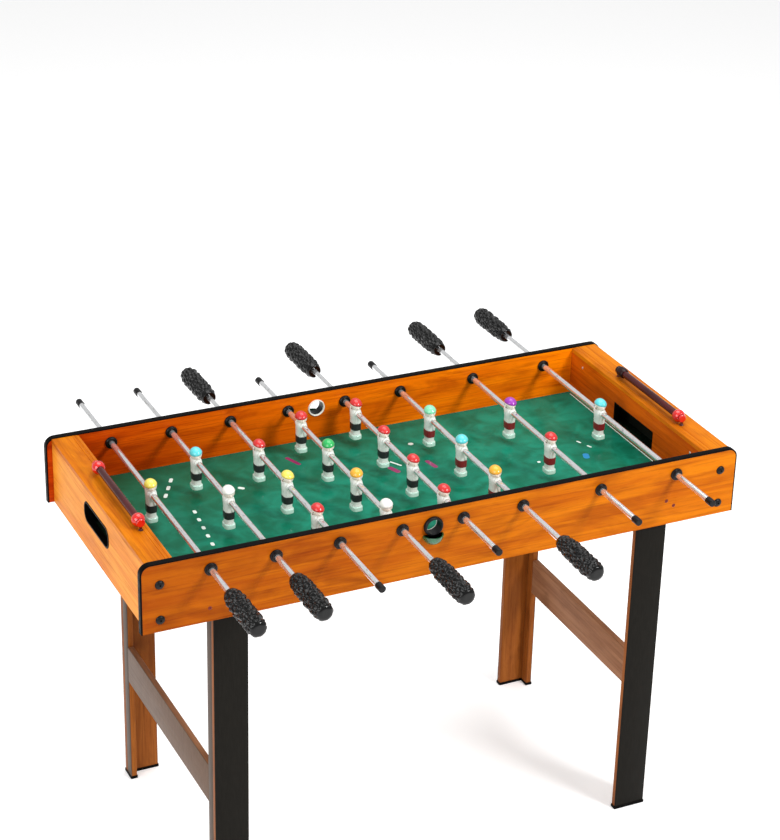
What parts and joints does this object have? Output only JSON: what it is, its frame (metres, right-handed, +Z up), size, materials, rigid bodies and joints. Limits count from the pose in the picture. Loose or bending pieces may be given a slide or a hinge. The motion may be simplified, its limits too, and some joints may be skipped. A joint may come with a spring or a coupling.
{
  "type": "foosball table",
  "caption": "Free-standing foosball table: open wooden cabinet on legs, green field, sliding and spinning player rods, goals, score rails.",
  "frame": {"origin": "on the floor, under the middle of the cabinet", "axes": "+X along the cabinet to the right end, +Y to the back, +Z up; the left team's grips are at the front, -Y"},
  "size_m": [0.86, 0.784, 0.58],
  "materials": {
    "wood_laminate": "satin orange-brown wood-print laminate",
    "charcoal_laminate": "satin charcoal laminate on the outer faces, wood print inside",
    "green_field": "glossy printed green playing surface",
    "chromed_steel": "polished",
    "black_plastic": "moulded, the grips pebbled all over",
    "player_plastic": "white moulding with painted hair, face and shirt",
    "maroon_plastic": "gloss",
    "red_plastic": "gloss",
    "green_plastic": "gloss, dark green"
  },
  "bodies": {
    "cabinet": {"back_edge_trim": "black_plastic", "back_left_leg": "charcoal_laminate", "back_right_leg": "charcoal_laminate", "back_serve_cup": "green_plastic", "back_side_board": "wood_laminate", "front_edge_trim": "black_plastic", "front_left_leg": "charcoal_laminate", "front_right_leg": "charcoal_laminate", "front_serve_cup": "green_plastic", "front_side_board": "wood_laminate", "left_end_deck": "wood_laminate", "left_end_panel": "wood_laminate", "left_goal_board": "wood_laminate", "left_score_rail": "maroon_plastic", "left_stretcher": "wood_laminate", "playfield": "green_field", "right_end_deck": "wood_laminate", "right_end_panel": "wood_laminate", "right_goal_board": "wood_laminate", "right_score_rail": "maroon_plastic", "right_stretcher": "wood_laminate"},
    "left_goalkeeper_rod": {"left_goalkeeper_rod": "chromed_steel"},
    "left_goalkeeper_set": {"left_goalkeeper_grip": "black_plastic", "left_goalkeeper_player_1": "player_plastic"},
    "left_defence_rod": {"left_defence_rod": "chromed_steel"},
    "left_defence_set": {"left_defence_grip": "black_plastic", "left_defence_player_1": "player_plastic", "left_defence_player_2": "player_plastic"},
    "right_attack_rod": {"right_attack_rod": "chromed_steel"},
    "right_attack_set": {"right_attack_grip": "black_plastic", "right_attack_player_1": "player_plastic", "right_attack_player_2": "player_plastic", "right_attack_player_3": "player_plastic"},
    "left_midfield_rod": {"left_midfield_rod": "chromed_steel"},
    "left_midfield_set": {"left_midfield_grip": "black_plastic", "left_midfield_player_1": "player_plastic", "left_midfield_player_2": "player_plastic", "left_midfield_player_3": "player_plastic", "left_midfield_player_4": "player_plastic"},
    "right_midfield_rod": {"right_midfield_rod": "chromed_steel"},
    "right_midfield_set": {"right_midfield_grip": "black_plastic", "right_midfield_player_1": "player_plastic", "right_midfield_player_2": "player_plastic", "right_midfield_player_3": "player_plastic", "right_midfield_player_4": "player_plastic"},
    "left_attack_rod": {"left_attack_rod": "chromed_steel"},
    "left_attack_set": {"left_attack_grip": "black_plastic", "left_attack_player_1": "player_plastic", "left_attack_player_2": "player_plastic", "left_attack_player_3": "player_plastic"},
    "right_defence_rod": {"right_defence_rod": "chromed_steel"},
    "right_defence_set": {"right_defence_grip": "black_plastic", "right_defence_player_1": "player_plastic", "right_defence_player_2": "player_plastic"},
    "right_goalkeeper_rod": {"right_goalkeeper_rod": "chromed_steel"},
    "right_goalkeeper_set": {"right_goalkeeper_grip": "black_plastic", "right_goalkeeper_player_1": "player_plastic"},
    "left_front_score_bead": {"left_front_score_bead": "red_plastic"},
    "left_back_score_bead": {"left_back_score_bead": "red_plastic"},
    "right_score_bead": {"right_score_bead": "red_plastic"}
  },
  "joints": [
    {"name": "left_goalkeeper_slide", "type": "slide", "parent": "cabinet", "child": "left_goalkeeper_rod", "axis": [0, 1, 0], "range_m": [-0.112, 0.062]},
    {"name": "left_goalkeeper_spin", "type": "hinge", "parent": "left_goalkeeper_rod", "child": "left_goalkeeper_set", "pos_m": [-0.3375, 0.024, 0.54], "axis": [0, 1, 0], "continuous": true},
    {"name": "left_defence_slide", "type": "slide", "parent": "cabinet", "child": "left_defence_rod", "axis": [0, 1, 0], "range_m": [-0.116, 0.058]},
    {"name": "left_defence_spin", "type": "hinge", "parent": "left_defence_rod", "child": "left_defence_set", "pos_m": [-0.25, 0.028, 0.54], "axis": [0, 1, 0], "continuous": true},
    {"name": "right_attack_slide", "type": "slide", "parent": "cabinet", "child": "right_attack_rod", "axis": [0, 1, 0], "range_m": [-0.0475, 0.0915]},
    {"name": "right_attack_spin", "type": "hinge", "parent": "right_attack_rod", "child": "right_attack_set", "pos_m": [-0.1625, -0.022, 0.54], "axis": [0, 1, 0], "continuous": true},
    {"name": "left_midfield_slide", "type": "slide", "parent": "cabinet", "child": "left_midfield_rod", "axis": [0, 1, 0], "range_m": [-0.0245, 0.0325]},
    {"name": "left_midfield_spin", "type": "hinge", "parent": "left_midfield_rod", "child": "left_midfield_set", "pos_m": [-0.075, -0.004, 0.54], "axis": [0, 1, 0], "continuous": true},
    {"name": "right_midfield_slide", "type": "slide", "parent": "cabinet", "child": "right_midfield_rod", "axis": [0, 1, 0], "range_m": [-0.0335, 0.0235]},
    {"name": "right_midfield_spin", "type": "hinge", "parent": "right_midfield_rod", "child": "right_midfield_set", "pos_m": [0.0125, 0.005, 0.54], "axis": [0, 1, 0], "continuous": true},
    {"name": "left_attack_slide", "type": "slide", "parent": "cabinet", "child": "left_attack_rod", "axis": [0, 1, 0], "range_m": [-0.0555, 0.0835]},
    {"name": "left_attack_spin", "type": "hinge", "parent": "left_attack_rod", "child": "left_attack_set", "pos_m": [0.1, -0.014, 0.54], "axis": [0, 1, 0], "continuous": true},
    {"name": "right_defence_slide", "type": "slide", "parent": "cabinet", "child": "right_defence_rod", "axis": [0, 1, 0], "range_m": [-0.092, 0.082]},
    {"name": "right_defence_spin", "type": "hinge", "parent": "right_defence_rod", "child": "right_defence_set", "pos_m": [0.217, 0.006, 0.54], "axis": [0, 1, 0], "continuous": true},
    {"name": "right_goalkeeper_slide", "type": "slide", "parent": "cabinet", "child": "right_goalkeeper_rod", "axis": [0, 1, 0], "range_m": [-0.1, 0.074]},
    {"name": "right_goalkeeper_spin", "type": "hinge", "parent": "right_goalkeeper_rod", "child": "right_goalkeeper_set", "pos_m": [0.334, 0.014, 0.54], "axis": [0, 1, 0], "continuous": true},
    {"name": "left_front_score_bead_slide", "type": "slide", "parent": "cabinet", "child": "left_front_score_bead", "axis": [0, 1, 0], "range_m": [0, 0.069]},
    {"name": "left_back_score_bead_slide", "type": "slide", "parent": "cabinet", "child": "left_back_score_bead", "axis": [0, 1, 0], "range_m": [-0.069, 0]},
    {"name": "right_score_bead_slide", "type": "slide", "parent": "cabinet", "child": "right_score_bead", "axis": [0, 1, 0], "range_m": [0, 0.138]}
  ]
}
